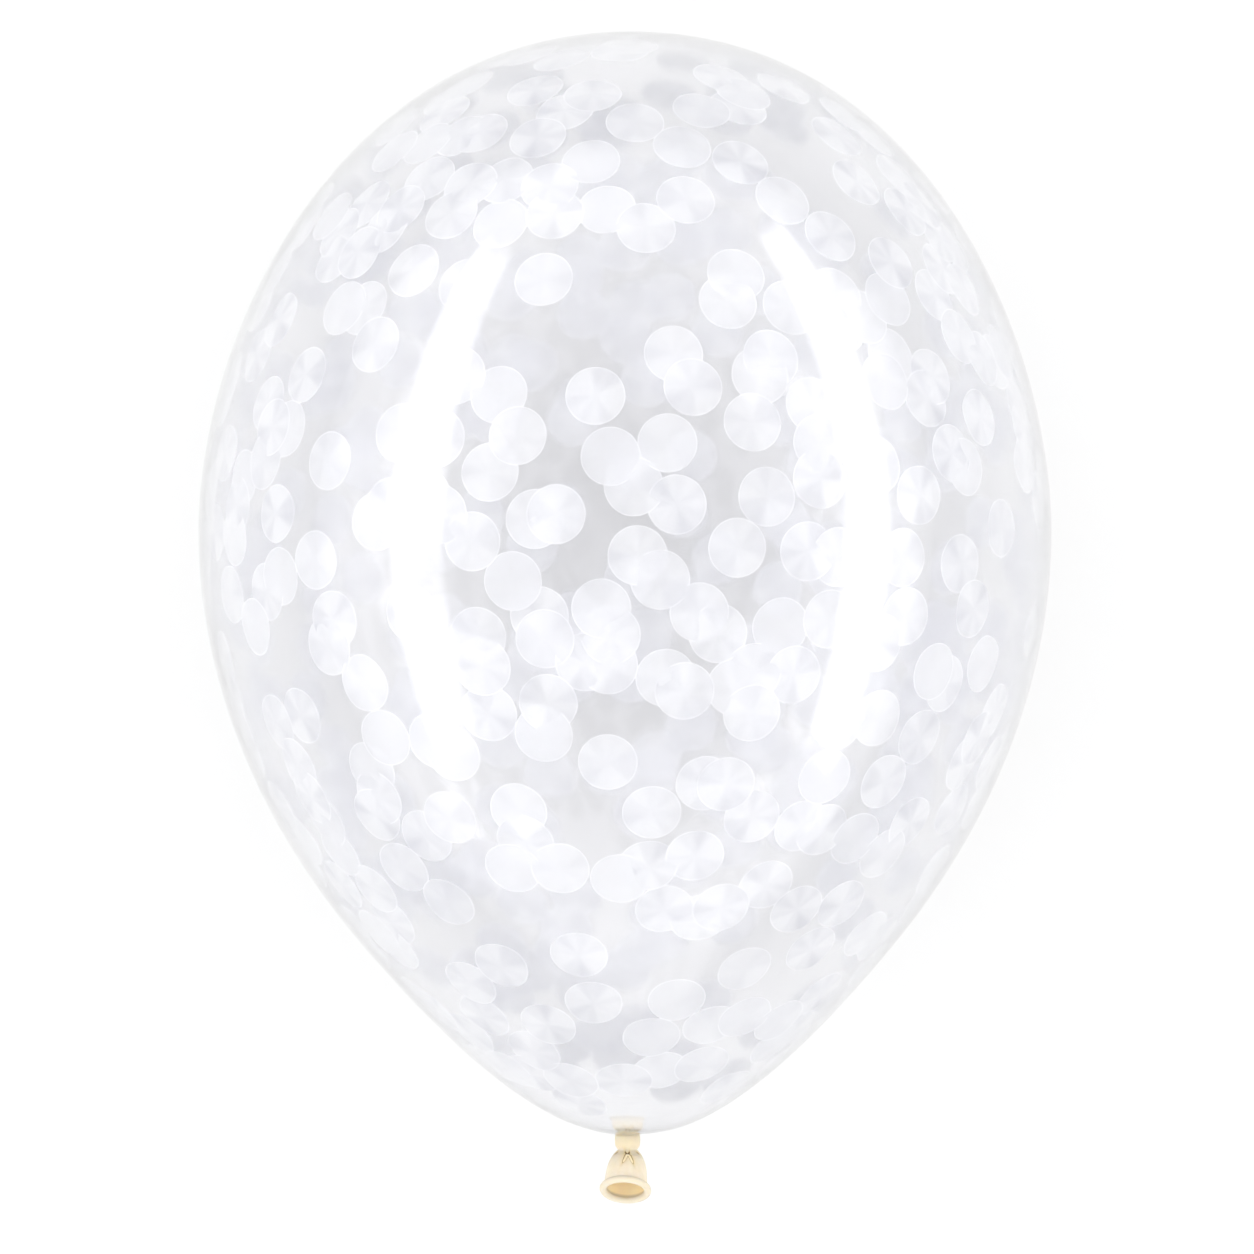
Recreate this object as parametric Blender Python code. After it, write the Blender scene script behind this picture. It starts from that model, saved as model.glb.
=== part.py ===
"""A clear latex party balloon, blown up, knotted and lying on its side.

Metres, +Z up. The crown points along +Y and the knot along -Y. The origin is the middle of the small
flat spot that the balloon rests on, straight below its widest section. The body is closed by its knot,
so it is one solid. The tail below the knot is an open bell with a thin wall and a rolled mouth.
"""
import math

import bmesh
import bpy
from mathutils import Vector

# Body
BODY_RADIUS = 0.150
CROWN_HEIGHT = 0.1762
TAPER_LENGTH = 0.2120
FLAT_DEPTH = 0.002
BOW = 0.0022

# Outline of the body, as shares of its radius and of its two lengths
CROWN_FULLNESS = 0.685
SHOULDER_FULLNESS = 0.393
HIP_FULLNESS = 0.158
FLANK_RADIUS = 0.6175
FLANK_PLACE = 0.689
FLANK_SLOPE = math.radians(40.2)
FLANK_ABOVE = 0.353
FLANK_BELOW = 0.392
BOTTOM_SLOPE = math.radians(7.0)
BOTTOM_REACH = 0.056

# Knot
NECK_RADIUS = 0.0041
KNOT_RADIUS = 0.0045
KNOT_HEIGHT = 0.0042
KNOT_SHIFT = 0.0009
PINCH_RADIUS = 0.0034
PINCH_DROP = 0.0012

# Tail
TAIL_LENGTH = 0.0155
TAIL_LEAN = math.radians(32.5)
TAIL_SWING = math.radians(4.0)
BEND_LENGTH = 0.0050
LIP_RADIUS = 0.0091
ROLL_DIAMETER = 0.0025
WALL = 0.0004
TAIL_FLOOR = 0.0034

# Gathers where the tail leaves the knot
CREASE_DEPTH = 0.0010
CREASE_REACH = 0.0032
CREASE_WIDTH = math.radians(10.0)
CREASE_COUNT = 6
FRONT_PLEAT = math.radians(70.0)

# Facets
SIDES = 64
CROWN_RINGS = 13
FLANK_RINGS = 10
BOTTOM_RINGS = 9
KNOT_RINGS = 6
BELL_RINGS = 7
ROLL_RINGS = 9
INNER_RINGS = 4

AXIS_HEIGHT = BODY_RADIUS - FLAT_DEPTH
KNOT_END = TAPER_LENGTH + KNOT_HEIGHT
UP = Vector((0.0, 0.0, 1.0))
ALONG_BODY = Vector((0.0, -1.0, 0.0))
TAIL_DIRECTION = Vector((
    -math.sin(TAIL_SWING) * math.cos(TAIL_LEAN),
    -math.cos(TAIL_SWING) * math.cos(TAIL_LEAN),
    math.sin(TAIL_LEAN),
))


def clear_scene():
    """Remove every object that the new file starts with."""
    for obj in list(bpy.data.objects):
        bpy.data.objects.remove(obj, do_unlink=True)


def bezier(points, t):
    """The point at t, from 0 to 1, on the cubic curve through four control points."""
    a, b, c, d = (Vector(point) for point in points)
    s = 1.0 - t
    return a * s**3 + b * (3.0 * s * s * t) + c * (3.0 * s * t * t) + d * t**3


def bezier_steps(points, steps):
    """Points on a cubic curve after its start, one for each step."""
    return [bezier(points, (i + 1) / steps) for i in range(steps)]


def body_curves():
    """The three curves of the body's outline, each as (place along Y, radius) control points."""
    flank_y = -FLANK_PLACE * TAPER_LENGTH
    flank_r = FLANK_RADIUS * BODY_RADIUS
    step_y = -math.cos(FLANK_SLOPE) * TAPER_LENGTH
    step_r = -math.sin(FLANK_SLOPE) * TAPER_LENGTH
    reach_y = math.sin(BOTTOM_SLOPE) * BOTTOM_REACH * TAPER_LENGTH
    reach_r = math.cos(BOTTOM_SLOPE) * BOTTOM_REACH * TAPER_LENGTH
    crown = (
        (CROWN_HEIGHT, 0.0),
        (CROWN_HEIGHT, CROWN_FULLNESS * BODY_RADIUS),
        (SHOULDER_FULLNESS * CROWN_HEIGHT, BODY_RADIUS),
        (0.0, BODY_RADIUS),
    )
    flank = (
        (0.0, BODY_RADIUS),
        (-HIP_FULLNESS * TAPER_LENGTH, BODY_RADIUS),
        (flank_y - FLANK_ABOVE * step_y, flank_r - FLANK_ABOVE * step_r),
        (flank_y, flank_r),
    )
    bottom = (
        (flank_y, flank_r),
        (flank_y + FLANK_BELOW * step_y, flank_r + FLANK_BELOW * step_r),
        (-TAPER_LENGTH + reach_y, NECK_RADIUS + reach_r),
        (-TAPER_LENGTH, NECK_RADIUS),
    )
    return crown, flank, bottom


def body_centre(y, radius):
    """Where the body's gently bowed centre line is at a place along Y."""
    length = CROWN_HEIGHT if y > 0.0 else TAPER_LENGTH
    x = BOW * (y / length) ** 2
    if y < 0.0:
        share = min(1.0, max(0.0, (radius - NECK_RADIUS) / (3.0 * NECK_RADIUS)))
        x = KNOT_SHIFT + (x - KNOT_SHIFT) * share
    return Vector((x, y, AXIS_HEIGHT))


def body_sections():
    """Sections of the body from the crown to the neck: centre, direction, radius and crease depth."""
    crown, flank, bottom = body_curves()
    outline = bezier_steps(crown, CROWN_RINGS)
    outline += bezier_steps(flank, FLANK_RINGS)
    outline += bezier_steps(bottom, BOTTOM_RINGS)
    return [(body_centre(y, radius), ALONG_BODY, radius, 0.0) for y, radius in outline]


def knot_sections():
    """Sections of the rounded band of the knot and of the pinch below it."""
    sections = []
    half = KNOT_HEIGHT / 2.0
    for i in range(KNOT_RINGS):
        turn = math.radians(-75.0 + 150.0 * i / (KNOT_RINGS - 1))
        y = -TAPER_LENGTH - half - half * math.sin(turn)
        radius = NECK_RADIUS + (KNOT_RADIUS - NECK_RADIUS) * math.cos(turn)
        sections.append((Vector((KNOT_SHIFT, y, AXIS_HEIGHT)), ALONG_BODY, radius, 0.0))
    return sections


def tail_place(s):
    """Centre and direction at a distance s along the tail, which bends just below the knot."""
    start = Vector((KNOT_SHIFT, -KNOT_END - PINCH_DROP, AXIS_HEIGHT))
    corner = start + ALONG_BODY * (BEND_LENGTH / 2.0)
    end = corner + TAIL_DIRECTION * (BEND_LENGTH / 2.0)
    if s >= BEND_LENGTH:
        return end + TAIL_DIRECTION * (s - BEND_LENGTH), TAIL_DIRECTION
    t = s / BEND_LENGTH
    centre = start * (1.0 - t) ** 2 + corner * (2.0 * t * (1.0 - t)) + end * t * t
    return centre, ((corner - start) * (1.0 - t) + (end - corner) * t).normalized()


def crease_depth(s):
    """How deep the gathers are at a distance s from the pinch."""
    return CREASE_DEPTH * math.exp(-((s / CREASE_REACH) ** 2))


def roll_centre_radius():
    """Radius of the circle that the middle of the rolled mouth follows."""
    return LIP_RADIUS - ROLL_DIAMETER / 2.0


def bell_curve():
    """Outer outline of the bell, as (distance along the tail, radius) control points."""
    top = roll_centre_radius() - 0.12 * ROLL_DIAMETER
    end = TAIL_LENGTH - 0.47 * ROLL_DIAMETER
    return (
        (0.0, PINCH_RADIUS),
        (0.10 * end, PINCH_RADIUS + 0.42 * (top - PINCH_RADIUS)),
        (0.35 * end, top),
        (end, top),
    )


def bell_radius(s):
    """Outer radius of the bell at a distance s along the tail."""
    curve = bell_curve()
    low, high = 0.0, 1.0
    for _ in range(40):
        middle = (low + high) / 2.0
        if bezier(curve, middle)[0] < s:
            low = middle
        else:
            high = middle
    return bezier(curve, low)[1]


def tail_sections():
    """Sections down the outside of the bell, round the rolled mouth and back up the inside."""
    outline = [(0.0, PINCH_RADIUS)]
    outline += [tuple(point) for point in bezier_steps(bell_curve(), BELL_RINGS)]
    roll = ROLL_DIAMETER / 2.0
    for i in range(ROLL_RINGS):
        turn = math.radians(155.0 - 285.0 * i / (ROLL_RINGS - 1))
        outline.append((TAIL_LENGTH + roll * math.cos(turn), roll_centre_radius() + roll * math.sin(turn)))
    top = TAIL_LENGTH - 0.9 * ROLL_DIAMETER
    for i in range(INNER_RINGS):
        s = top + (TAIL_FLOOR - top) * i / (INNER_RINGS - 1)
        outline.append((s, bell_radius(s) - WALL))
    outline.append((0.85 * TAIL_FLOOR, 0.5 * bell_radius(TAIL_FLOOR)))
    return [(*tail_place(s), radius, crease_depth(s)) for s, radius in outline]


def crease_angles():
    """Angles of the gathers: two beside the front pleat and the rest evenly round the back."""
    front = math.radians(90.0)
    gap = (2.0 * math.pi - FRONT_PLEAT) / (CREASE_COUNT - 1)
    return [front + FRONT_PLEAT / 2.0 + gap * i for i in range(CREASE_COUNT)]


def crease_share(angle):
    """How much of the crease depth shows at an angle round the tail, from 0 to 1."""
    share = 0.0
    for crease in crease_angles():
        offset = math.remainder(angle - crease, 2.0 * math.pi)
        share = max(share, math.exp(-((offset / CREASE_WIDTH) ** 2)))
    return share


def ring(bm, section):
    """Add one ring of vertices for a section."""
    centre, direction, radius, crease = section
    side = direction.cross(UP).normalized()
    front = side.cross(direction).normalized()
    verts = []
    for i in range(SIDES):
        angle = 2.0 * math.pi * i / SIDES
        reach = radius - crease * crease_share(angle)
        verts.append(bm.verts.new(centre + (side * math.cos(angle) + front * math.sin(angle)) * reach))
    return verts


def bridge(bm, first, second):
    """Join two rings with quads."""
    for i in range(SIDES):
        j = (i + 1) % SIDES
        bm.faces.new((first[i], first[j], second[j], second[i]))


def cap(bm, point, loop):
    """Close a ring with a fan of triangles to one point."""
    tip = bm.verts.new(point)
    for i in range(SIDES):
        bm.faces.new((tip, loop[i], loop[(i + 1) % SIDES]))


def press_flat(bm):
    """Cut the lying body off at the floor and close the cut with one flat face."""
    geometry = list(bm.verts) + list(bm.edges) + list(bm.faces)
    bmesh.ops.bisect_plane(
        bm,
        geom=geometry,
        dist=1e-6,
        plane_co=(0.0, 0.0, 0.0),
        plane_no=(0.0, 0.0, -1.0),
        clear_outer=True,
    )
    rim = [edge for edge in bm.edges if edge.is_boundary]
    bmesh.ops.holes_fill(bm, edges=rim)


def latex_material():
    """Clear, faintly grey latex."""
    material = bpy.data.materials.new("clear_latex")
    material.use_nodes = True
    shader = material.node_tree.nodes["Principled BSDF"]
    shader.inputs["Base Color"].default_value = (0.90, 0.90, 0.93, 1.0)
    shader.inputs["Roughness"].default_value = 0.12
    shader.inputs["Metallic"].default_value = 0.0
    shader.inputs["Alpha"].default_value = 0.35
    return material


def make_balloon():
    """Skin the sections from the crown to the inside of the tail, and press the underside flat."""
    bm = bmesh.new()
    sections = body_sections() + knot_sections() + tail_sections()
    loops = [ring(bm, section) for section in sections]
    cap(bm, body_centre(CROWN_HEIGHT, 0.0), loops[0])
    for first, second in zip(loops, loops[1:]):
        bridge(bm, first, second)
    cap(bm, tail_place(0.75 * TAIL_FLOOR)[0], loops[-1])
    press_flat(bm)
    bmesh.ops.recalc_face_normals(bm, faces=bm.faces)
    mesh = bpy.data.meshes.new("balloon")
    bm.to_mesh(mesh)
    bm.free()
    mesh.shade_smooth()
    mesh.set_sharp_from_angle(angle=math.radians(40.0))
    mesh.materials.append(latex_material())
    balloon = bpy.data.objects.new("balloon", mesh)
    bpy.context.scene.collection.objects.link(balloon)
    return balloon


def main():
    clear_scene()
    make_balloon()


main()
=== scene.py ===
# %% [markdown]
# # A clear balloon full of white confetti
# A latex balloon is one thin skin. Where it is blown up it is stretched clear, and where it is not, at the
# knot and the rolled mouth, it keeps the cream colour of raw latex. Loose round discs of pearly film cling
# to the inside. The packed model gives the frame: every size below is in metres, in the same frame.

# %% Load the frame
import math

import bmesh
import bpy
import numpy as np
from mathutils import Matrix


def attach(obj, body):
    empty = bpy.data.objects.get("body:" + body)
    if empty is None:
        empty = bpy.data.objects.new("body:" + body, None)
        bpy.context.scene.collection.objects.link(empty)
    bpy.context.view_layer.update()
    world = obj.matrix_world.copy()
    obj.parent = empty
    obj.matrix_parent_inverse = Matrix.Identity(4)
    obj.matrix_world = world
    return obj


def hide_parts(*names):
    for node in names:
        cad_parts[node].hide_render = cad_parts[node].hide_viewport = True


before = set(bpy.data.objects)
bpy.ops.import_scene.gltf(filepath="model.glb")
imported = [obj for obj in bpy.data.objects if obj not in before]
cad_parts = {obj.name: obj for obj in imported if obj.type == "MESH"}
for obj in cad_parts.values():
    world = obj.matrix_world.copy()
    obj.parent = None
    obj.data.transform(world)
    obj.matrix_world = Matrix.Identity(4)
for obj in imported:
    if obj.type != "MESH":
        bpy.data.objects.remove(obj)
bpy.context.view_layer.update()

# %% [markdown]
# ## The outline of the body
# Blown up, the skin takes a pear shape: nearly an ellipse over the crown, then a straight flank down to a
# round bottom. Three cubic curves give that outline from a few sizes. Drawing it as points would need a
# long list, and a sphere pulled out of shape would not give the straight flank.

# %% Body sizes
BODY_RADIUS = 0.150
CROWN_HEIGHT = 0.1762
TAPER_LENGTH = 0.2120
FLAT_DEPTH = 0.002
BOW = 0.0022
AXIS_HEIGHT = BODY_RADIUS - FLAT_DEPTH
NECK_RADIUS = 0.0041
FLANK_SLOPE, BOTTOM_SLOPE = math.radians(40.2), math.radians(7.0)
# shares of the taper's length and of the body's radius, where the straight flank has its middle
FLANK_PLACE, FLANK_RADIUS = 0.689, 0.6175
# shares that say how full each curve is on its way
CROWN_FULLNESS, SHOULDER_FULLNESS, HIP_FULLNESS = 0.685, 0.393, 0.158
FLANK_ABOVE, FLANK_BELOW, BOTTOM_REACH = 0.353, 0.392, 0.056


def curve_through(points, steps):
    """Points after the start of a cubic curve, one for each step."""
    a, b, c, d = (np.array(point, float) for point in points)
    t = (np.arange(steps) + 1.0)[:, None] / steps
    s = 1.0 - t
    return a * s**3 + 3.0 * b * s * s * t + 3.0 * c * s * t * t + d * t**3


def body_outline(crown_steps, flank_steps, bottom_steps):
    """(place along Y, radius) from just below the crown's tip to the neck."""
    flank = np.array((-FLANK_PLACE * TAPER_LENGTH, FLANK_RADIUS * BODY_RADIUS))
    step = -TAPER_LENGTH * np.array((math.cos(FLANK_SLOPE), math.sin(FLANK_SLOPE)))
    reach = BOTTOM_REACH * TAPER_LENGTH * np.array((math.sin(BOTTOM_SLOPE), math.cos(BOTTOM_SLOPE)))
    neck = np.array((-TAPER_LENGTH, NECK_RADIUS))
    crown = curve_through(
        ((CROWN_HEIGHT, 0.0), (CROWN_HEIGHT, CROWN_FULLNESS * BODY_RADIUS),
         (SHOULDER_FULLNESS * CROWN_HEIGHT, BODY_RADIUS), (0.0, BODY_RADIUS)), crown_steps)
    side = curve_through(
        ((0.0, BODY_RADIUS), (-HIP_FULLNESS * TAPER_LENGTH, BODY_RADIUS),
         flank - FLANK_ABOVE * step, flank), flank_steps)
    bottom = curve_through((flank, flank + FLANK_BELOW * step, neck + reach, neck), bottom_steps)
    return np.vstack((crown, side, bottom))


outline = body_outline(48, 36, 40)
print("outline rings", len(outline), "widest", round(outline[:, 1].max() * 2000), "mm")

# %% [markdown]
# ## Where a point of the skin lies
# The body is turned about a line that bows very slightly to one side, as soft balloons do. The knot sits a
# little off that line. These helpers turn (place, radius, angle) into a point of the frame.

# %% Place rings
KNOT_SHIFT = 0.0009


def middle_of(y, radius):
    """X of the bowed middle line of the body."""
    y, radius = np.asarray(y, float), np.asarray(radius, float)
    bow = BOW * np.where(y > 0.0, y / CROWN_HEIGHT, y / TAPER_LENGTH) ** 2
    share = np.where(y < 0.0, np.clip((radius - NECK_RADIUS) / (3.0 * NECK_RADIUS), 0.0, 1.0), 1.0)
    return KNOT_SHIFT + (bow - KNOT_SHIFT) * share


def rings_round(centres, directions, radii, sides):
    """Rings of points, one ring for each centre; the first quarter turn faces up."""
    up = np.array((0.0, 0.0, 1.0))
    turn = np.linspace(0.0, 2.0 * np.pi, sides, endpoint=False)
    side = np.cross(directions, up)
    side /= np.linalg.norm(side, axis=1)[:, None]
    front = np.cross(side, directions)
    radii = np.asarray(radii, float)
    if radii.ndim == 1:
        radii = radii[:, None]
    spread = side[:, None] * np.cos(turn)[:, None] + front[:, None] * np.sin(turn)[:, None]
    return centres[:, None] + spread * radii[..., None]


def body_rings(places, radii, sides):
    """Rings of the body for places along Y."""
    centres = np.stack((middle_of(places, radii), places, np.full(len(places), AXIS_HEIGHT)), axis=1)
    directions = np.tile((0.0, -1.0, 0.0), (len(places), 1))
    return rings_round(centres, directions, radii, sides)


print("middle line moves", round(1000 * float(middle_of(CROWN_HEIGHT, 0.1)), 2), "mm at the crown")

# %% [markdown]
# ## The knot and the tail
# The neck is pulled through its own loop, so a rounded band sits under the body. Below the band the neck
# is pinched and gathered, then it opens into a bell that ends in a rolled lip. The bell leans upwards, to
# the viewer. A bent centre line carries all those rings, so the skin stays in one piece.

# %% Tail sizes
KNOT_RADIUS = 0.0045
KNOT_HEIGHT = 0.0042
PINCH_RADIUS = 0.0034
PINCH_DROP = 0.0012
TAIL_LENGTH = 0.0155
TAIL_LEAN = math.radians(32.5)
TAIL_SWING = math.radians(4.0)
BEND_LENGTH = 0.0050
LIP_RADIUS = 0.0091
ROLL = 0.0025
TAIL_WALL = 0.0004
TAIL_FLOOR = 0.0034
TAIL_WAY = np.array((
    -math.sin(TAIL_SWING) * math.cos(TAIL_LEAN),
    -math.cos(TAIL_SWING) * math.cos(TAIL_LEAN),
    math.sin(TAIL_LEAN),
))
DOWN_BODY = np.array((0.0, -1.0, 0.0))


def tail_line(s):
    """Centres and directions at distances s along the tail."""
    s = np.asarray(s, float)[:, None]
    start = np.array((KNOT_SHIFT, -TAPER_LENGTH - KNOT_HEIGHT - PINCH_DROP, AXIS_HEIGHT))
    corner = start + DOWN_BODY * BEND_LENGTH / 2.0
    end = corner + TAIL_WAY * BEND_LENGTH / 2.0
    t = np.clip(s / BEND_LENGTH, 0.0, 1.0)
    bent = start * (1.0 - t) ** 2 + corner * 2.0 * t * (1.0 - t) + end * t * t
    centres = bent + TAIL_WAY * np.maximum(s - BEND_LENGTH, 0.0)
    ways = (corner - start) * (1.0 - t) + (end - corner) * t
    return centres, ways / np.linalg.norm(ways, axis=1)[:, None]


roll_middle = LIP_RADIUS - ROLL / 2.0
bell_top = roll_middle - 0.12 * ROLL
bell_end = TAIL_LENGTH - 0.47 * ROLL
bell_outline = np.vstack(([(0.0, PINCH_RADIUS)], curve_through(
    ((0.0, PINCH_RADIUS), (0.10 * bell_end, PINCH_RADIUS + 0.42 * (bell_top - PINCH_RADIUS)),
     (0.35 * bell_end, bell_top), (bell_end, bell_top)), 44)))
print("rolled mouth", round(LIP_RADIUS * 2000, 1), "mm across, opening",
      round((roll_middle - ROLL / 2.0) * 2000, 1), "mm")

# %% [markdown]
# ## Gathers
# Where the neck is squeezed, the skin folds into creases that run down the bell and fade out. The two in
# front cross under the knot and part like an upturned V, with a smooth pleat between them. They are real
# dents in the radius, because a bump in the shader would not change the shape that is seen from the side.
# The same numbers are kept as "fold" on the mesh, for the yellower colour round a crease and the painted shade
# at the bottom of it.

# %% Gathers
CREASES = (
    # angle at the pinch and at the end of the crease, in degrees; length and depth in metres; half width
    (76.0, 114.0, 0.0102, 0.00125, 4.2),
    (101.0, 72.0, 0.0102, 0.00125, 4.2),
    (140.0, 152.0, 0.0030, 0.00045, 8.0),
    (32.0, 24.0, 0.0034, 0.00050, 8.0),
    (205.0, 212.0, 0.0050, 0.00070, 7.0),
    (256.0, 262.0, 0.0046, 0.00075, 7.0),
    (305.0, 298.0, 0.0050, 0.00070, 7.0),
    (345.0, 348.0, 0.0038, 0.00045, 8.0),
)


def crease_dents(s, sides, widen=1.0):
    """How far the skin is pulled in at distances s along the tail, for each side of the ring."""
    s = np.asarray(s, float)[:, None]
    turn = np.linspace(0.0, 360.0, sides, endpoint=False)[None, :]
    dents = np.zeros((s.shape[0], sides))
    for at_pinch, at_end, length, depth, half_width in CREASES:
        share = np.clip(s / length, 0.0, 1.6)
        away = (turn - (at_pinch + (at_end - at_pinch) * share) + 180.0) % 360.0 - 180.0
        fade = (0.15 + 0.85 * np.clip(share * 2.6, 0.0, 1.0)) / (1.0 + np.exp((share - 0.75) / 0.09))
        dents = np.maximum(dents, depth * fade * np.exp(-((away / half_width / widen) ** 2)))
    return dents


print("deepest gather", round(1000 * crease_dents(np.linspace(0.0, 0.005, 9), 96).max(), 2), "mm")

# %% [markdown]
# ## The skin as a mesh
# The outer surface runs from the crown to the knot, out along the bell, round the roll and back inside the
# bell. A second surface just inside the body is the inner face of the skin, so the body really is a thin
# wall around air. Light then bends twice at each wall and passes almost straight, as in a real balloon. The
# inner face ends in a short plug, the gathered neck above the knot. Each band of faces gets the finish of
# its stretch, and "fold" says how creased a point is, or, below zero, that it lies in the bell or on its roll.

# %% Skin rings
SIDES = 240
WALL = 0.00018
KNOT_RINGS = 14

knot_turn = np.radians(np.linspace(-78.0, 78.0, KNOT_RINGS))
knot_y = -TAPER_LENGTH - KNOT_HEIGHT / 2.0 * (1.0 + np.sin(knot_turn))
knot_r = NECK_RADIUS + (KNOT_RADIUS - NECK_RADIUS) * np.cos(knot_turn)
knot_rings = rings_round(
    np.stack((np.full(KNOT_RINGS, KNOT_SHIFT), knot_y, np.full(KNOT_RINGS, AXIS_HEIGHT)), axis=1),
    np.tile(DOWN_BODY, (KNOT_RINGS, 1)), knot_r, SIDES)

roll_turn = np.radians(np.linspace(155.0, -130.0, 22))
roll_s = TAIL_LENGTH + ROLL / 2.0 * np.cos(roll_turn)
roll_r = roll_middle + ROLL / 2.0 * np.sin(roll_turn)
inner_s = np.linspace(TAIL_LENGTH - 0.9 * ROLL, TAIL_FLOOR, 14)
inner_r = np.interp(inner_s, bell_outline[:, 0], bell_outline[:, 1]) - TAIL_WALL
floor_s, floor_r = [0.92 * TAIL_FLOOR, 0.85 * TAIL_FLOOR], [0.8 * inner_r[-1], 0.45 * inner_r[-1]]
tail_s = np.concatenate((bell_outline[:, 0], roll_s, inner_s, floor_s))
tail_r = np.concatenate((bell_outline[:, 1], roll_r, inner_r, floor_r))
tail_centres, tail_ways = tail_line(tail_s)
tail_dents = crease_dents(tail_s, SIDES) * (np.arange(len(tail_s)) < len(bell_outline) + 1)[:, None]
tail_rings = rings_round(tail_centres, tail_ways, tail_r[:, None] - tail_dents, SIDES)
outer_rings = body_rings(outline[:, 0], outline[:, 1], SIDES)
print("rings", len(outer_rings), "body,", len(knot_rings), "knot,", len(tail_rings), "tail")

# %% Join rings into a tube
def add_tube(bm, rings, first_tip, last_tip, finishes, flip=False, folds=None):
    """Skin a stack of rings and close each end at a tip. finishes gives a material slot for each band."""
    loops = [[bm.verts.new(point) for point in ring] for ring in rings]
    sides = len(loops[0])
    top, end = bm.verts.new(first_tip), bm.verts.new(last_tip)
    if folds is not None:
        fold = bm.verts.layers.float["fold"]
        for loop, ring_folds in zip(loops, folds):
            for vert, depth in zip(loop, ring_folds):
                vert[fold] = depth
    for i in range(sides):
        j = (i + 1) % sides
        faces = [(top, loops[0][i], loops[0][j]), (loops[-1][i], end, loops[-1][j])]
        slots = [finishes[0], finishes[-1]]
        for k in range(len(loops) - 1):
            faces.append((loops[k][i], loops[k + 1][i], loops[k + 1][j], loops[k][j]))
            slots.append(finishes[k])
        for corners, slot in zip(faces, slots):
            face = bm.faces.new(corners[::-1] if flip else corners)
            face.material_index = slot
            face.smooth = True


print("a tube with", SIDES, "sides for each ring")

# %% The inner face of the skin
EXTRA_WALL, THICK_REACH = 0.0004, 0.010
PLUG_START, PLUG_LENGTH, PLUG_TIP = 0.0010, 0.0066, 0.0085
PLUG_RADIUS, PLUG_TOP_RADIUS = 0.0048, 0.0065


def inner_wall():
    """The inner face of the blown-up skin, which is thicker near the neck and stops at the plug."""
    step = np.gradient(outline, axis=0)
    normal = np.stack((-step[:, 1], step[:, 0]), axis=1)
    normal /= np.linalg.norm(normal, axis=1)[:, None]
    normal *= np.sign(normal[:, 1])[:, None]
    near_neck = np.exp(-(outline[:, 1] / THICK_REACH))
    inner = outline - normal * (WALL + EXTRA_WALL * near_neck)[:, None]
    return inner[inner[:, 1] > PLUG_TOP_RADIUS - 0.0003]


plug_side = np.array([
    (-TAPER_LENGTH + PLUG_START + PLUG_LENGTH * u, PLUG_RADIUS + (PLUG_TOP_RADIUS - PLUG_RADIUS) * u ** 1.5)
    for u in np.linspace(0.0, 1.0, 10)])
plug_top = np.array([
    (-TAPER_LENGTH + PLUG_START + PLUG_LENGTH + 0.0008 * math.sin(a), PLUG_TOP_RADIUS * math.cos(a) ** 0.7)
    for a in np.radians(np.linspace(12.0, 86.0, 8))])
inside = np.vstack((inner_wall(), plug_side, plug_top))
inside_rings = body_rings(inside[:, 0], inside[:, 1], SIDES)
inside_rings[..., 2] = np.maximum(inside_rings[..., 2], WALL)
print("inner face", len(inside), "rings, plug", round(2000 * PLUG_TOP_RADIUS), "mm across")

# %% The whole skin
CLEAR, CREAM, GATHERED = 0, 1, 2
FULL_FOLD = 0.0008
ROLL_MARK, BELL_MARK = -2.0, -0.8

bm = bmesh.new()
bm.verts.layers.float.new("fold")
all_rings = np.concatenate((outer_rings, knot_rings, tail_rings))
knot_folds = (0.18 + 0.05 * np.exp(-((knot_y + TAPER_LENGTH) / 0.0005) ** 2))[:, None] * np.ones(SIDES)
halo = crease_dents(tail_s, SIDES, widen=3.2) * (tail_dents > 0.0)
tail_folds = np.clip(tail_dents / FULL_FOLD, 0.0, 1.0) + 350.0 * halo
on_roll = len(bell_outline)
tail_folds[on_roll:on_roll + len(roll_s)] = ROLL_MARK
tail_folds[on_roll + len(roll_s):] = BELL_MARK
all_folds = np.concatenate((np.zeros(outer_rings.shape[:2]), knot_folds, tail_folds))
all_rings[..., 2] = np.maximum(all_rings[..., 2], 0.0)
outer_finishes = [CLEAR] * len(outer_rings) + [CREAM] * (len(all_rings) - len(outer_rings))
crown_x = float(middle_of(CROWN_HEIGHT, 0.0))
tail_tip = tail_line([0.75 * TAIL_FLOOR])[0][0]
add_tube(bm, all_rings, (crown_x, CROWN_HEIGHT, AXIS_HEIGHT), tail_tip, outer_finishes, folds=all_folds)
plug_bands = len(plug_side) + len(plug_top)
inside_finishes = [CLEAR] * (len(inside) - plug_bands) + [GATHERED] * plug_bands
add_tube(bm, inside_rings, (crown_x, CROWN_HEIGHT - WALL, AXIS_HEIGHT),
         (KNOT_SHIFT, -TAPER_LENGTH + PLUG_TIP, AXIS_HEIGHT), inside_finishes, flip=True)
skin_mesh = bpy.data.meshes.new("balloon_skin")
bm.to_mesh(skin_mesh)
bm.free()
skin = bpy.data.objects.new("balloon_skin", skin_mesh)
bpy.context.scene.collection.objects.link(skin)
print("skin faces", len(skin_mesh.polygons))

# %% [markdown]
# ## Confetti
# Static holds the discs flat against the inside of the skin, in drifts with bare patches between them. Each
# disc is a small fan of faces bent to the wall. A thin disc pressed on a curved wall cannot lie flat, so
# it buckles into wedges that meet at its middle. That buckle gives the pearly film part of its rays, and a
# painted sheen of rays in the film's colour adds to them.

# %% The wall that the discs lie on
DISC_RADIUS = 0.010
DISC_SIDES = 32
DISC_COUNT = 660

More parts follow.
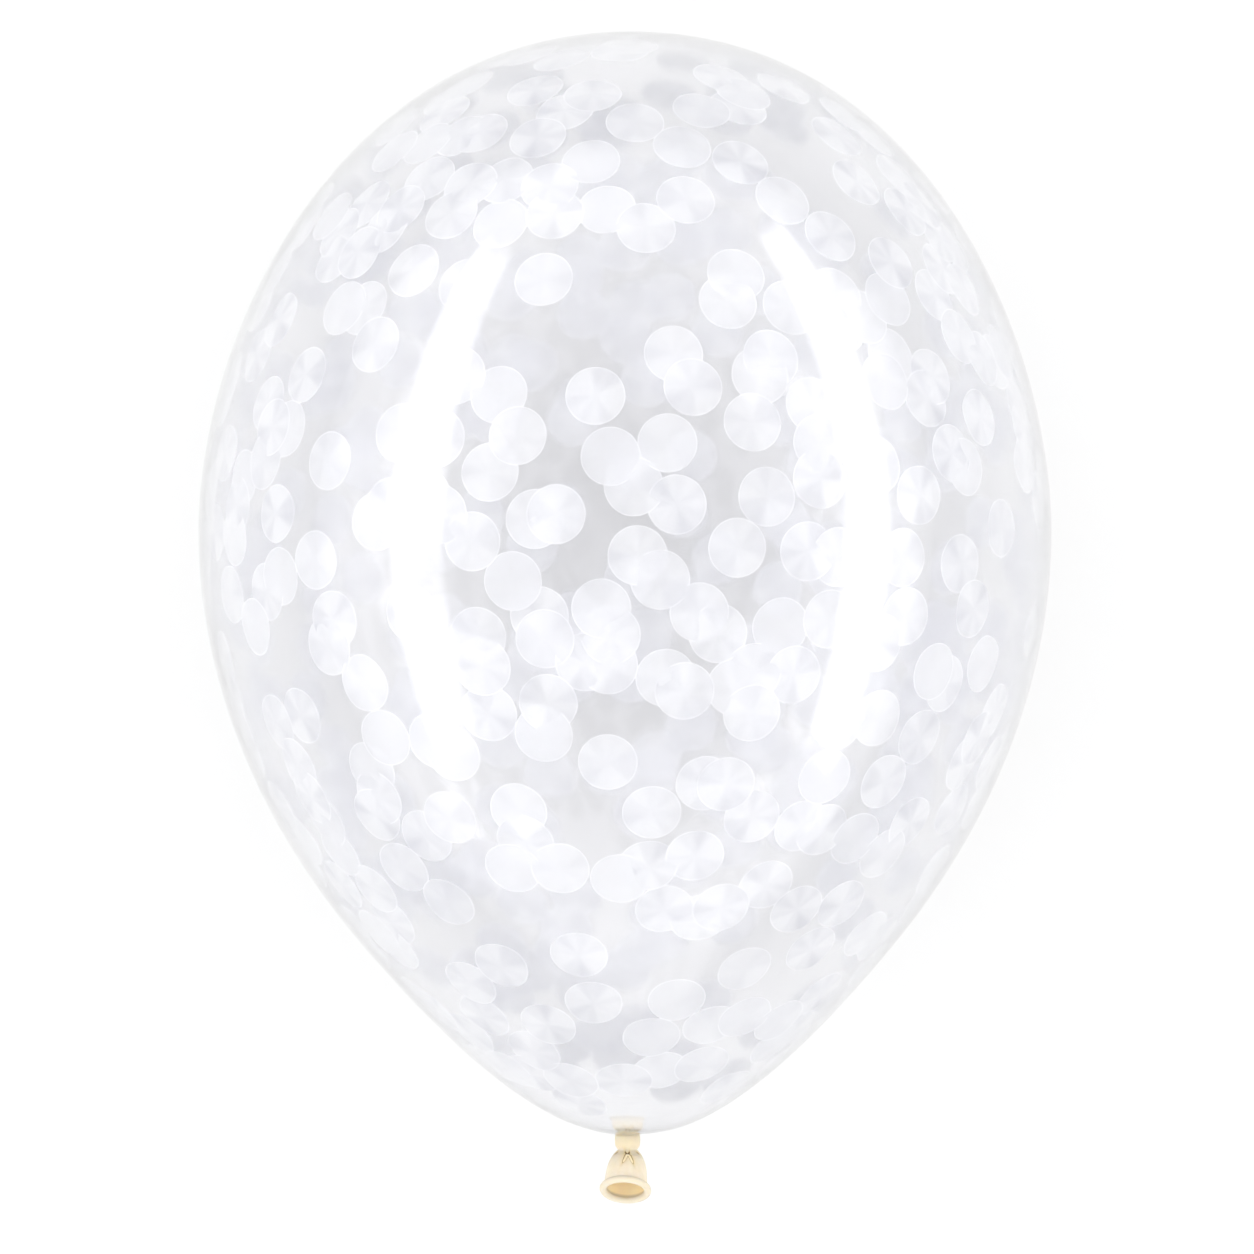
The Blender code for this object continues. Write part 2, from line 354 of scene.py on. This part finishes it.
dense = np.vstack(([(CROWN_HEIGHT, 1e-5)], body_outline(400, 300, 300)))
dense_step = np.gradient(dense, axis=0)
dense_length = np.linalg.norm(dense_step, axis=1)
wall_tangent = dense_step / dense_length[:, None]
wall_normal = np.stack((-wall_tangent[:, 1], wall_tangent[:, 0]), axis=1)
wall_normal *= np.where(wall_normal[:, 1] < 0.0, -1.0, 1.0)[:, None]
bend_along = np.linalg.norm(np.gradient(wall_tangent, axis=0), axis=1) / dense_length
bend_round = wall_normal[:, 1] / np.maximum(dense[:, 1], 1e-4)
wall_area = dense[:, 1] * dense_length
print("wall area", round(float(2.0 * np.pi * wall_area.sum()), 3), "square metres")

# %% Where the discs cling
NARROWEST = 0.012
CLOSEST, CROWDED = 0.7 * DISC_RADIUS, 1.9 * DISC_RADIUS
rng = np.random.RandomState(23)


def drift(y, angle):
    """How thick the confetti lies at a place: drifts, bare patches, and less at both ends."""
    waves = (np.sin(2.0 * angle + 31.0 * y + 0.6) + np.sin(3.0 * angle - 24.0 * y + 2.1)
             + np.sin(5.0 * angle + 47.0 * y + 4.0) + np.sin(1.0 * angle - 55.0 * y + 1.3))
    near_crown = np.clip((CROWN_HEIGHT - y) / 0.020, 0.1, 1.0)
    near_bottom = np.clip((y + TAPER_LENGTH - 0.008) / 0.016, 0.0, 1.0)
    return np.clip(0.72 + 0.17 * waves, 0.12, 1.0) * (near_crown * near_bottom)


chance = np.cumsum(wall_area * (dense[:, 1] > NARROWEST))
chance /= chance[-1]
spots = []
while len(spots) < DISC_COUNT:
    k = int(np.searchsorted(chance, rng.rand()))
    angle = rng.rand() * 2.0 * np.pi
    if rng.rand() > drift(dense[k, 0], angle):
        continue
    place = np.array((dense[k, 1] * math.cos(angle), dense[k, 0], dense[k, 1] * math.sin(angle)))
    gaps = [np.linalg.norm(place - other) for _, _, other in spots]
    crowd = sum(gap < CROWDED for gap in gaps)
    if min(gaps, default=1.0) < CLOSEST or rng.rand() > 0.5 ** crowd:
        continue
    spots.append((k, angle, place))
print("discs", len(spots), "of", round(DISC_RADIUS * 2000), "mm")

# %% Bend each disc to the wall
BUCKLE = (0.024, 0.018, 0.012)
MOST_TILT = 0.05
FIRST_LAYER, LAYERS = 0.0002, 0.0006


def disc_points(k, angle, layer):
    """Points of one disc: its middle, a half-way ring and its rim, with their places on the disc's map."""
    y, r = dense[k]
    out = np.array((-math.cos(angle), 0.0, math.sin(angle)))
    along = np.array((0.0, 1.0, 0.0))
    normal = wall_normal[k, 1] * out + wall_normal[k, 0] * along
    around = np.array((math.sin(angle), 0.0, math.cos(angle)))
    down = np.cross(normal, around)
    foot = np.array((float(middle_of(y, r)), y, AXIS_HEIGHT)) + r * out
    turn = np.linspace(0.0, 2.0 * np.pi, DISC_SIDES, endpoint=False)
    phase = rng.rand(3) * 2.0 * np.pi
    size = rng.rand(3) * BUCKLE
    buckle = sum(size[n] * (1.0 + np.cos((n + 2) * turn + phase[n])) for n in range(3))
    tilt, lean = rng.rand() ** 2 * MOST_TILT, rng.rand() * 2.0 * np.pi
    points, flat = [foot - normal * layer], [(0.5, 0.5)]
    for share in (0.5, 1.0):
        a, b = DISC_RADIUS * share * np.cos(turn), DISC_RADIUS * share * np.sin(turn)
        sag = 0.5 * (bend_round[k] * a * a + bend_along[k] * b * b)
        lift = DISC_RADIUS * share * buckle + tilt * (DISC_RADIUS + a * math.cos(lean) + b * math.sin(lean))
        points += list(foot + a[:, None] * around + b[:, None] * down
                       - normal * (layer + sag + lift)[:, None])
        flat += list(zip(0.5 + 0.5 * share * np.cos(turn), 0.5 + 0.5 * share * np.sin(turn)))
    return [np.maximum(point, (-1.0, -1.0, layer)) for point in points], flat


# %% All discs as one piece
bm = bmesh.new()
flat_map = bm.loops.layers.uv.new("disc")
lot = bm.verts.layers.float.new("lot")
for k, angle, _ in spots:
    points, flat = disc_points(k, angle, WALL + FIRST_LAYER + LAYERS * rng.rand())
    verts = [bm.verts.new(point) for point in points]
    own = rng.rand()
    for vert in verts:
        vert[lot] = own
    for i in range(DISC_SIDES):
        j = (i + 1) % DISC_SIDES
        fan = (0, 1 + i, 1 + j)
        band = (1 + i, 1 + DISC_SIDES + i, 1 + DISC_SIDES + j, 1 + j)
        for corners in (fan, band):
            face = bm.faces.new([verts[c] for c in corners])
            face.smooth = True
            for loop, c in zip(face.loops, corners):
                loop[flat_map].uv = flat[c]
confetti_mesh = bpy.data.meshes.new("confetti")
bm.to_mesh(confetti_mesh)
bm.free()
confetti = bpy.data.objects.new("confetti", confetti_mesh)
confetti.visible_diffuse = False
bpy.context.scene.collection.objects.link(confetti)
print("confetti faces", len(confetti_mesh.polygons))

# %% [markdown]
# ## Shader maths as plain sums
# Blender's materials are graphs of nodes. One small class wraps a socket, so that sums can be written as
# Python expressions and each adds its own Math node. Any other node comes from its node() method.

# %% The socket wrapper
class Wire:
    """A node socket that can be used in sums."""

    def __init__(self, tree, socket=None):
        self.tree = tree
        self.socket = socket

    def node(self, kind, settings=None, sockets=None, output=0):
        """Add a node: its settings first, then a value or a link for each named socket."""
        made = self.tree.nodes.new(kind)
        for name, value in (settings or {}).items():
            if name == "stops":
                ramp = made.color_ramp.elements
                while len(ramp) < len(value):
                    ramp.new(0.5)
                for stop, (place, colour) in zip(ramp, value):
                    stop.position, stop.color = place, colour
            else:
                setattr(made, name, value)
        for name, value in (sockets or {}).items():
            if isinstance(value, Wire):
                self.tree.links.new(value.socket, made.inputs[name])
            else:
                made.inputs[name].default_value = value
        return Wire(self.tree, made.outputs[output])

    def maths(self, operation, *others, clamp=False):
        """A Math node on this socket and the others."""
        return self.node("ShaderNodeMath", {"operation": operation, "use_clamp": clamp},
                         dict(enumerate((self, *others))))

    def __add__(self, other):
        return self.maths("ADD", other)

    def __radd__(self, other):
        return self.maths("ADD", other)

    def __sub__(self, other):
        return self.maths("SUBTRACT", other)

    def __rsub__(self, other):
        return self.node("ShaderNodeMath", {"operation": "SUBTRACT"}, {0: other, 1: self})

    def __mul__(self, other):
        return self.maths("MULTIPLY", other)

    def __rmul__(self, other):
        return self.maths("MULTIPLY", other)

    def __truediv__(self, other):
        return self.maths("DIVIDE", other)

    def __pow__(self, other):
        return self.maths("POWER", other)

    def clamp(self):
        """The same value, held between 0 and 1."""
        return self.maths("ADD", 0.0, clamp=True)

    def blend(self, low, high):
        """A colour between two, by this share."""
        return self.node("ShaderNodeMix", {"data_type": "RGBA"},
                         {"Factor": self, 6: low, 7: high}, output=2)


def new_material(name):
    """A material with its Principled shader, and a wire to start from."""
    made = bpy.data.materials.new(name)
    made.use_nodes = True
    shader = made.node_tree.nodes["Principled BSDF"]
    return made, shader, Wire(made.node_tree)


def feed(material, shader, name, wire):
    """Link a wire to a named socket of the shader."""
    material.node_tree.links.new(wire.socket, shader.inputs[name])


print("Math operators ready:", ", ".join(n.strip("_") for n in vars(Wire) if n in (
    "__add__", "__sub__", "__mul__", "__truediv__", "__pow__")))


# %% [markdown]
# ## Clear latex
# Stretched latex is clear with a faint grey haze. The haze is why discs that touch the skin look sharp,
# and those far behind it look blurred: a small roughness in a glass-like shader does the same. The bend is
# low because the wall is thin. The colour is a little deeper in the thicker skin near the knot. Painted light
# and shade are in the colour too: it is lighter where the skin is seen at a slant, and dark in a thin line
# at the outline.

# %% Clear latex
clear_latex, shader, wire = new_material("clear_latex")
shader.inputs["Transmission Weight"].default_value = 1.0
shader.inputs["IOR"].default_value = 1.3
shader.inputs["Coat Weight"].default_value = 0.7
shader.inputs["Coat Roughness"].default_value = 0.04
place = wire.node("ShaderNodeTexCoord", output="Object")
cloud = wire.node("ShaderNodeTexNoise", None, {"Vector": place, "Scale": 14.0, "Detail": 3.0}, output=0)
along = wire.node("ShaderNodeSeparateXYZ", None, {"Vector": place}, output=1)
near_knot = ((along + (TAPER_LENGTH - 0.012)) * (-1.0 / 0.012)).clamp()
facing = wire.node("ShaderNodeLayerWeight", None, {"Blend": 0.5}, output=1)
turned = facing + (cloud - 0.5) * 0.12
# Painted light and shade: the colour is lighter where the skin is seen at a slant, and dark in a thin line at
# the outline.
depth = wire.node("ShaderNodeValToRGB", {"stops": (
    (0.0, (0.905, 0.905, 0.92, 1.0)), (0.45, (0.965, 0.965, 0.975, 1.0)), (0.87, (0.98, 0.98, 0.99, 1.0)),
    (0.94, (0.83, 0.83, 0.86, 1.0)))}, {"Fac": turned})
feed(clear_latex, shader, "Base Color",
     (near_knot * 0.6).blend(depth, (0.92, 0.92, 0.93, 1.0)))
feed(clear_latex, shader, "Roughness", cloud * 0.04 + 0.075)
ripple = wire.node("ShaderNodeTexNoise", None, {"Vector": place, "Scale": 22.0, "Detail": 2.0}, output=0)
feed(clear_latex, shader, "Normal", wire.node(
    "ShaderNodeBump", None, {"Height": ripple, "Strength": 0.25, "Distance": 0.0006}))
skin_mesh.materials.append(clear_latex)
print("clear latex nodes", len(clear_latex.node_tree.nodes))

# %% [markdown]
# ## Cream latex
# Latex that is not stretched is cream and milky, with a dusting of powder. Light soaks through its thin
# wall, so the inside of the bell glows warm: the shader lets light scatter under the surface, and a painted
# glow, a lighter and warmer colour on the inside of the bell, adds to it. It is yellower round a crease, and
# painted shade makes the bottom of a crease dark.

# %% Cream latex
cream_latex, shader, wire = new_material("cream_latex")
shader.inputs["Subsurface Weight"].default_value = 0.5
shader.inputs["Subsurface Radius"].default_value = (1.0, 0.72, 0.36)
shader.inputs["Subsurface Scale"].default_value = 0.0007
shader.inputs["Specular IOR Level"].default_value = 0.3
place = wire.node("ShaderNodeTexCoord", output="Object")
powder = wire.node("ShaderNodeTexNoise", None, {"Vector": place, "Scale": 900.0, "Detail": 4.0}, output=0)
stretched = wire.node("ShaderNodeMapping", None, {"Vector": place, "Scale": (1.0, 0.25, 1.0)})
streak = wire.node("ShaderNodeTexNoise", None, {"Vector": stretched, "Scale": 420.0, "Detail": 2.0}, output=0)
fold = wire.node("ShaderNodeAttribute", {"attribute_name": "fold"}, output=2)
mottle = ((powder * 0.4 + streak * 0.6 - 0.5) * 2.0 + 0.5).clamp()
skin_tone = mottle.blend((0.60, 0.53, 0.40, 1.0), (0.67, 0.605, 0.49, 1.0))
# Painted glow: the inside of the bell gets a lighter, warmer colour.
painted_bell_glow = (fold * -1.0).clamp().blend(skin_tone, (0.84, 0.72, 0.48, 1.0))
rolled = (fold * -1.0 - 1.0).clamp().blend(painted_bell_glow, (0.54, 0.485, 0.38, 1.0))
yellowed = (fold * 2.2).clamp().blend(rolled, (0.62, 0.51, 0.30, 1.0))
# Painted shade: the bottom of a crease is made nearly black.
feed(cream_latex, shader, "Base Color",
     ((fold - 0.35) * 2.4).clamp().blend(yellowed, (0.13, 0.065, 0.008, 1.0)))
feed(cream_latex, shader, "Roughness", powder * 0.2 + 0.42)
feed(cream_latex, shader, "Normal", wire.node(
    "ShaderNodeBump", None, {"Height": powder * 0.4 + streak, "Strength": 0.3, "Distance": 0.0002}))
skin_mesh.materials.append(cream_latex)
print("cream latex nodes", len(cream_latex.node_tree.nodes))

# %% [markdown]
# ## The gathered neck inside
# Above the knot the gathered neck can be seen through the body as a pale patch that fades upwards, where the
# skin is blown thinner and thinner. An alpha that falls along the length does that. Streaks run the same way.
# Light soaks through it from behind, and a little emission stands for that. The glow isn't sampled as a lamp,
# because a ray sent to it from every point would make the render more than twice as long.

# %% Thin neck
thin_neck, shader, wire = new_material("thin_neck")
place = wire.node("ShaderNodeTexCoord", output="Object")
along = wire.node("ShaderNodeSeparateXYZ", None, {"Vector": place}, output=1)
stretched = wire.node("ShaderNodeMapping", None, {"Vector": place, "Scale": (1.0, 0.2, 1.0)})
streak = wire.node("ShaderNodeTexNoise", None, {"Vector": stretched, "Scale": 420.0, "Detail": 2.0}, output=0)
up_neck = ((along + (TAPER_LENGTH - PLUG_START)) * (1.0 / PLUG_LENGTH)).clamp()
neck_tone = (streak * 0.6 + up_neck * 0.4).clamp().blend((1.0, 0.90, 0.66, 1.0), (1.0, 0.97, 0.87, 1.0))
feed(thin_neck, shader, "Base Color", neck_tone)
feed(thin_neck, shader, "Emission Color", neck_tone)
shader.inputs["Emission Strength"].default_value = 1.1
feed(thin_neck, shader, "Roughness", streak * 0.2 + 0.45)
feed(thin_neck, shader, "Alpha", ((1.0 - up_neck) ** 1.2 * (streak * 0.12 + 0.13)).clamp())
thin_neck.cycles.emission_sampling = "NONE"
skin_mesh.materials.append(thin_neck)
print("thin neck nodes", len(thin_neck.node_tree.nodes))

# %% [markdown]
# ## Pearly film
# The discs are punched from a white pearly film. Light soaks through it, so a disc hardly shades the one
# under it, and two that overlap look whiter than one. Scattering inside every disc would render slowly, so
# the discs are see-through in part and are left out of each other's soft light. A painted sheen of rays from
# the middle of each disc, a painted highlight on the cut edge and a different tint for each disc come from
# the disc's own map. The side that faces into the balloon would get its light through the discs over it, so
# it is painted duller: painted shade.

# %% Pearly film
pearl_film, shader, wire = new_material("pearl_film")
spot = wire.node("ShaderNodeUVMap", {"uv_map": "disc"})
parts = wire.node("ShaderNodeSeparateXYZ", None, {"Vector": spot}, output=0)
across = wire.node("ShaderNodeSeparateXYZ", None, {"Vector": spot}, output=1)
a, b = parts - 0.5, across - 0.5
ray_angle = b.maths("ARCTAN2", a)
far_out = (a * a + b * b) ** 0.5 * 2.0
lot_wire = wire.node("ShaderNodeAttribute", {"attribute_name": "lot"}, output=2)
# Painted sheen: rays of lighter and darker colour from the middle of each disc.
painted_rays = ((ray_angle * 2.0 + lot_wire * 40.0).maths("SINE") * 0.45
        + (ray_angle * 3.0 + lot_wire * 91.0).maths("SINE") * 0.35
        + (ray_angle * 7.0 + lot_wire * 57.0).maths("SINE") * 0.25)
strength = (lot_wire * 77.0).maths("FRACT") * 1.2 + 0.1
own_tone = (lot_wire * 13.0).maths("FRACT") * 0.3 + 0.6
painted_sheen = (painted_rays * strength * far_out.maths("MINIMUM", 0.6) * 1.1 + own_tone).clamp()
# Painted highlight: a lighter colour on the cut edge, which is also a little more opaque.
edge = ((far_out - 0.95) * 20.0).clamp()
# Painted shade: the side that faces into the balloon is darker.
painted_inner_shade = wire.node("ShaderNodeNewGeometry", output=6)
tone = (painted_sheen * 0.9 + edge * 0.35 - painted_inner_shade * 0.55).clamp()
grazing = wire.node("ShaderNodeLayerWeight", None, {"Blend": 0.5}, output=1)
feed(pearl_film, shader, "Base Color", tone.blend((0.74, 0.745, 0.79, 1.0), (0.985, 0.99, 1.0, 1.0)))
feed(pearl_film, shader, "Roughness", painted_sheen * -0.12 + 0.42)
feed(pearl_film, shader, "Alpha", (edge * 0.14 + grazing * 0.34 + 0.58).clamp())
confetti_mesh.materials.append(pearl_film)
print("pearly film nodes", len(pearl_film.node_tree.nodes))

# %% [markdown]
# ## Stage
# The photograph shows the balloon on plain white, so the floor is a very large white plane and the light is
# soft. The floor glows a little, so that no hard shadow falls on it. The glow is less under the balloon, a
# painted shadow where the balloon keeps the light off, and less again far away, where a dim horizon lets the
# clear outline show in a view from the side. The camera looks straight down at the balloon as it lies on the
# floor.

# %% Floor
HALF_FLOOR, BELOW = 60.0, -0.0003
floor_mesh = bpy.data.meshes.new("floor")
floor_mesh.from_pydata(
    [(-HALF_FLOOR, -HALF_FLOOR, BELOW), (HALF_FLOOR, -HALF_FLOOR, BELOW),
     (HALF_FLOOR, HALF_FLOOR, BELOW), (-HALF_FLOOR, HALF_FLOOR, BELOW)], [], [(0, 1, 2, 3)])
floor = bpy.data.objects.new("floor", floor_mesh)
bpy.context.scene.collection.objects.link(floor)
white_floor, shader, wire = new_material("white_floor")
shader.inputs["Base Color"].default_value = (0.25, 0.25, 0.25, 1.0)
from_middle = wire.node("ShaderNodeMapping", None, {
    "Vector": wire.node("ShaderNodeTexCoord", output="Object"), "Scale": (1.3, 1.0, 1.0)})
DIM_AT = 3.0
far = from_middle.node("ShaderNodeVectorMath", {"operation": "LENGTH"}, {0: from_middle}, output=1)
# Painted shadow: the glow is a little lower under the balloon; far away it dims towards the horizon.
feed(white_floor, shader, "Emission Color", wire.node("ShaderNodeValToRGB", {"stops": (
    (0.0, (0.915, 0.915, 0.92, 1.0)), (0.052, (0.925, 0.925, 0.93, 1.0)), (0.066, (1.0, 1.0, 1.0, 1.0)),
    (0.2, (1.0, 1.0, 1.0, 1.0)), (0.6, (0.66, 0.66, 0.67, 1.0)))}, {"Fac": far * (1.0 / DIM_AT)}))
shader.inputs["Emission Strength"].default_value = 0.60
white_floor.cycles.emission_sampling = "NONE"
shader.inputs["Roughness"].default_value = 0.9
shader.inputs["Specular IOR Level"].default_value = 0.0
floor_mesh.materials.append(white_floor)
print("floor", round(2 * HALF_FLOOR), "m across,", round(-1000 * BELOW, 1), "mm below the balloon")

# %% [markdown]
# ## Studio light
# A balloon mirrors the whole room, so the room is made as one soft white surround that is a little brighter
# above the floor's far edge. Two long soft boxes glow in it, one to the left and a lower one to the right:
# their reflections are the two bright strips on the skin. Lamps would give the same strips, but light that
# has to find its way to a lamp through clear skin renders slowly. Each soft box is a band of directions,
# with soft edges, that runs along the balloon.

# %% Studio light
world = bpy.data.worlds.new("studio")
bpy.context.scene.world = world
world.use_nodes = True
world.cycles.sampling_method = "NONE"
backdrop = world.node_tree.nodes["Background"]
backdrop.inputs["Color"].default_value = (1.0, 1.0, 1.0, 1.0)
wire = Wire(world.node_tree)
way = wire.node("ShaderNodeTexCoord", output="Generated")
way_x, way_y, way_z = (wire.node("ShaderNodeSeparateXYZ", None, {"Vector": way}, output=n) for n in range(3))
side_angle = way_x.maths("ARCTAN2", way_z)
lengthwise = way_y / (way_x * way_x + way_z * way_z + 1e-6) ** 0.5


def soft_box(angle_from_top, width, ends, softness):
    """A band of directions: angles in degrees from straight up, ends as slopes along Y."""
    half = math.radians(width) / 2.0
    edge = math.radians(softness)
    away = (side_angle - math.radians(angle_from_top)).maths("ABSOLUTE")
    across = ((half - away) * (1.0 / edge) + 0.5).clamp()
    middle, reach = sum(ends) / 2.0, (ends[1] - ends[0]) / 2.0
    ended = ((reach - (lengthwise - middle).maths("ABSOLUTE")) * 6.0 + 0.5).clamp()
    return across * ended


BOX_GLOW, ROOM_GLOW, HORIZON_GLOW = 2.3, 0.86, 1.0
boxes = soft_box(-57.4, 16.0, (-0.74, 1.33), 2.0) + soft_box(67.7, 14.5, (-0.74, 1.40), 2.0)
above_floor = (way_z * 8.0).clamp()
glow = boxes * BOX_GLOW + above_floor * ROOM_GLOW + HORIZON_GLOW
world.node_tree.links.new(glow.socket, backdrop.inputs["Strength"])
print("studio nodes", len(world.node_tree.nodes))

# %% Camera
camera = bpy.data.objects.new("camera", bpy.data.cameras.new("camera"))
CAMERA_DISTANCE = 2.4
FRAME_WIDTH = 0.4419
camera.data.sensor_width = 36.0
camera.data.lens = 36.0 * CAMERA_DISTANCE / FRAME_WIDTH
camera.location = (0.0007, -0.0332, AXIS_HEIGHT + CAMERA_DISTANCE)
camera.rotation_euler = (0.0, 0.0, 0.0)
bpy.context.scene.collection.objects.link(camera)
bpy.context.scene.camera = camera
bpy.context.scene.view_settings.view_transform = "Standard"
print("lens", round(camera.data.lens), "mm at", CAMERA_DISTANCE, "m")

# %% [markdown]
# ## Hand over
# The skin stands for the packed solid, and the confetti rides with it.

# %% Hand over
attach(skin, "root")
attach(confetti, "root")
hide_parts("balloon")
